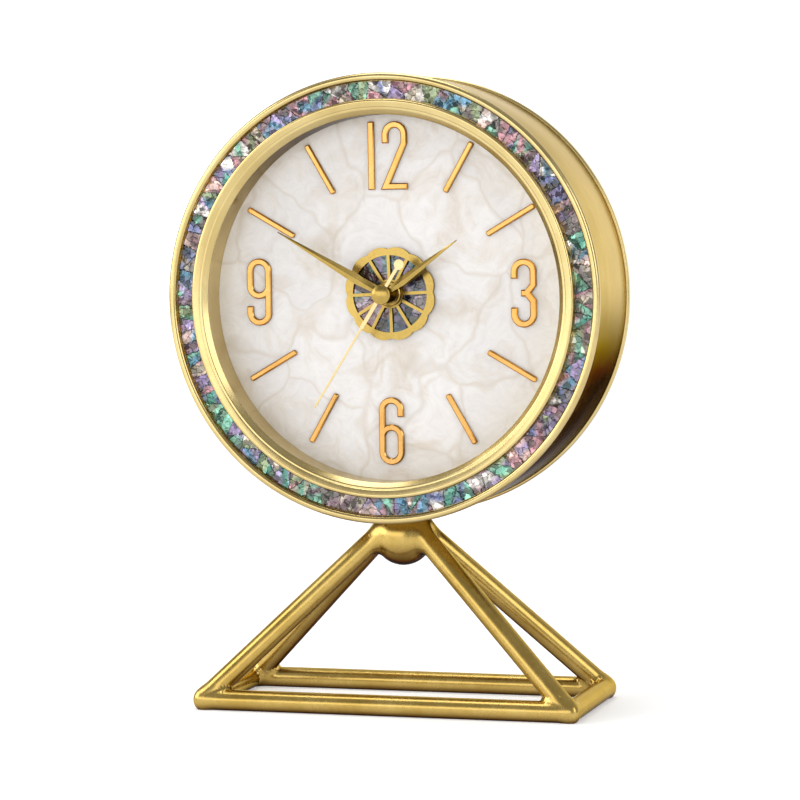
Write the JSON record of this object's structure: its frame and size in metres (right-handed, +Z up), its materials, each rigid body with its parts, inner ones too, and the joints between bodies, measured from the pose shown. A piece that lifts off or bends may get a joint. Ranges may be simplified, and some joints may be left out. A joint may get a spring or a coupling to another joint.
{
  "type": "desk clock",
  "caption": "Round brass drum clock with a pearl dial and a shell chip ring, bolted to a ball on four splayed rods that stand on a rectangular rod base.",
  "frame": {"origin": "on the table, at the middle of the rectangle that the clock covers", "axes": "+X to the right of the dial as it is read, +Y from the dial to the back, +Z up"},
  "size_m": [0.2, 0.0778, 0.2853],
  "materials": {
    "satin_brass": "satin brushed brass under clear lacquer",
    "mark_brass": "polished brass with a warm tint",
    "hand_brass": "brushed brass",
    "shell_chips": "polished abalone shell chips in clear resin",
    "pearl": "polished mother of pearl veneer",
    "dial_plate": "mill finish",
    "spacer_plastic": "moulded",
    "clip_steel": "zinc plated",
    "washer_rubber": "moulded",
    "movement_plastic": "fine grain moulded",
    "plate_plastic": "moulded",
    "gear_plastic": "moulded acetal",
    "magnet": "sintered and plated",
    "copper_wire": "enamelled copper wire",
    "circuit_green": "solder mask",
    "nickel_plate": "nickel plated",
    "cell_wrap": "plain printed wrap without text"
  },
  "bodies": {
    "clock": {"case_band": "satin_brass", "front_flange": "satin_brass", "front_rim": "satin_brass", "back_rim": "satin_brass", "inner_bezel": "satin_brass", "back_cover": "satin_brass", "stand_ball": "satin_brass", "front_bar": "satin_brass", "back_bar": "satin_brass", "left_bar": "satin_brass", "right_bar": "satin_brass", "leg_front_left": "satin_brass", "leg_front_right": "satin_brass", "leg_back_left": "satin_brass", "leg_back_right": "satin_brass", "hour_batons": "mark_brass", "numeral_12": "mark_brass", "numeral_3": "mark_brass", "numeral_6": "mark_brass", "numeral_9": "mark_brass", "rosette": "hand_brass", "bushing": "hand_brass", "bushing_washer": "hand_brass", "bushing_nut": "hand_brass", "shell_inlay": "shell_chips", "shell_disc": "shell_chips", "pearl_dial": "pearl", "dial_backing": "dial_plate", "dial_spacer": "spacer_plastic", "dial_clips": "clip_steel", "cover_lugs": "clip_steel", "cover_screws": "clip_steel", "stand_bolt": "clip_steel", "saddle_washer": "clip_steel", "stator": "clip_steel", "rubber_washer": "washer_rubber", "movement_case": "movement_plastic", "movement_cover": "movement_plastic", "middle_plate": "plate_plastic", "back_plate": "plate_plastic", "coil": "copper_wire", "circuit_board": "circuit_green", "quartz_crystal": "nickel_plate", "positive_contact": "nickel_plate", "negative_contact": "nickel_plate", "battery": "cell_wrap"},
    "second_arbor": {"second_hand": "hand_brass", "second_cap": "hand_brass", "second_wheel": "gear_plastic"},
    "third_arbor": {"third_wheel": "gear_plastic"},
    "centre_arbor": {"centre_wheel": "gear_plastic"},
    "fifth_arbor": {"fifth_wheel": "gear_plastic"},
    "rotor_arbor": {"rotor": "magnet"},
    "minute_arbor": {"minute_hand": "hand_brass", "minute_nut": "hand_brass", "cannon_pinion": "hand_brass"},
    "hour_arbor": {"hour_hand": "hand_brass", "hour_wheel": "gear_plastic"},
    "motion_arbor": {"motion_wheel": "gear_plastic", "setting_knob": "gear_plastic"}
  },
  "joints": [
    {"name": "second_turn", "type": "hinge", "parent": "clock", "child": "second_arbor", "pos_m": [0, 0, 0.1872], "axis": [0, 1, 0], "continuous": true},
    {"name": "third_turn", "type": "hinge", "parent": "clock", "child": "third_arbor", "pos_m": [0.00764, 0, 0.19484], "axis": [0, 1, 0], "continuous": true},
    {"name": "centre_turn", "type": "hinge", "parent": "clock", "child": "centre_arbor", "pos_m": [0, 0, 0.1872], "axis": [0, 1, 0], "continuous": true},
    {"name": "fifth_turn", "type": "hinge", "parent": "clock", "child": "fifth_arbor", "pos_m": [0, 0, 0.1944], "axis": [0, 1, 0], "continuous": true},
    {"name": "rotor_turn", "type": "hinge", "parent": "clock", "child": "rotor_arbor", "pos_m": [0, 0, 0.2007], "axis": [0, 1, 0], "continuous": true},
    {"name": "minute_turn", "type": "hinge", "parent": "clock", "child": "minute_arbor", "pos_m": [0, 0, 0.1872], "axis": [0, 1, 0], "continuous": true},
    {"name": "hour_turn", "type": "hinge", "parent": "clock", "child": "hour_arbor", "pos_m": [0, 0, 0.1872], "axis": [0, 1, 0], "continuous": true},
    {"name": "motion_turn", "type": "hinge", "parent": "clock", "child": "motion_arbor", "pos_m": [-0.00778, 0, 0.19498], "axis": [0, 1, 0], "continuous": true}
  ],
  "couplings": [
    {"joint": "third_turn", "follows": "second_turn", "ratio": -0.125},
    {"joint": "centre_turn", "follows": "second_turn", "ratio": 0.016667},
    {"joint": "fifth_turn", "follows": "second_turn", "ratio": -5},
    {"joint": "rotor_turn", "follows": "second_turn", "ratio": 30},
    {"joint": "hour_turn", "follows": "minute_turn", "ratio": 0.083333},
    {"joint": "motion_turn", "follows": "minute_turn", "ratio": -0.33333}
  ]
}
